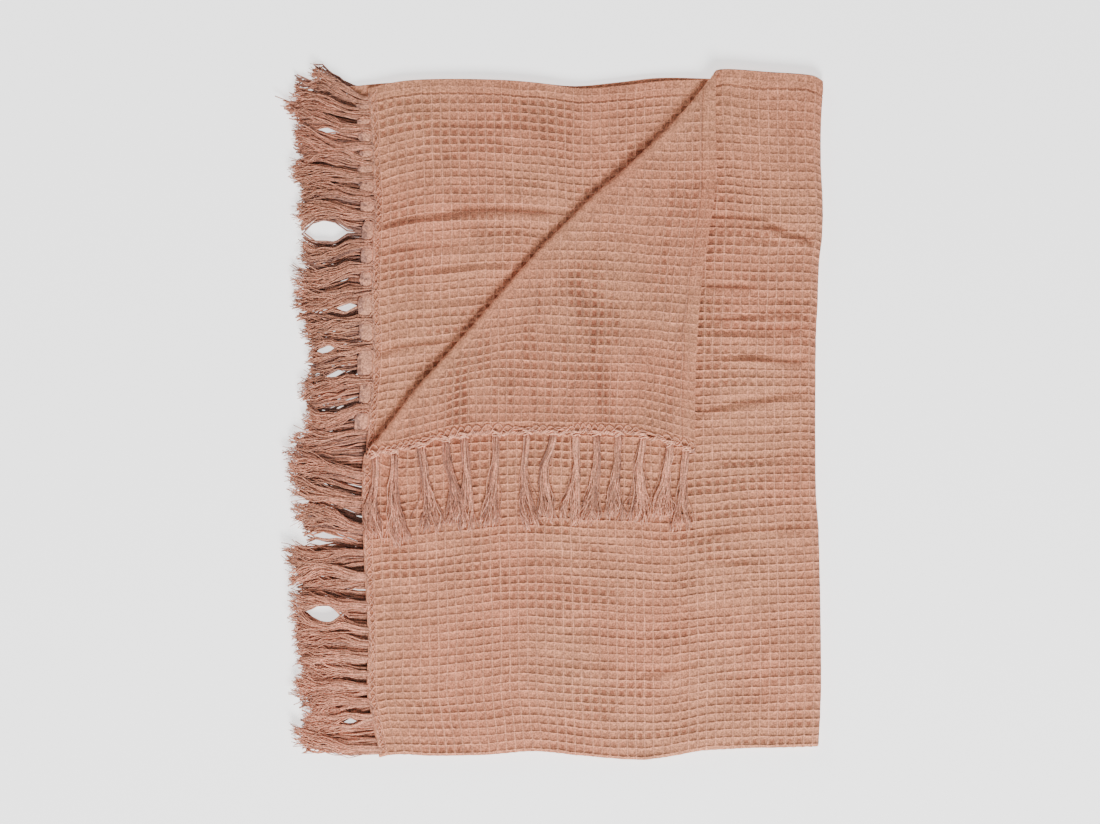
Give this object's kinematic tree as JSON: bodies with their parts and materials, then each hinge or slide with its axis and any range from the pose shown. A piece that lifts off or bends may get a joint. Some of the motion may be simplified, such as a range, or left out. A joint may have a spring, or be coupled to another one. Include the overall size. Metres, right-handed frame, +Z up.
{
  "type": "folded waffle weave cotton blanket",
  "caption": "Fringed waffle weave cotton blanket, folded in quarters and laid flat, with one corner turned back over the upper leaf.",
  "frame": {"origin": "middle of the whole folded blanket in plan, on the surface that it lies on", "axes": "+X from the fringes towards the right-hand fold, +Y from the fold at the foot towards the hemmed edges, +Z up"},
  "size_m": [0.6064, 0.7608, 0.021],
  "materials": {
    "cotton_cloth": "dusty rose cotton in a matt waffle weave",
    "cotton_fringe": "loose matt cotton yarns, knotted at the root and frayed at the tip"
  },
  "bodies": {
    "root": {"blanket_cloth": "cotton_cloth", "fringe_end_a": "cotton_fringe", "fringe_end_b": "cotton_fringe"}
  },
  "joints": []
}
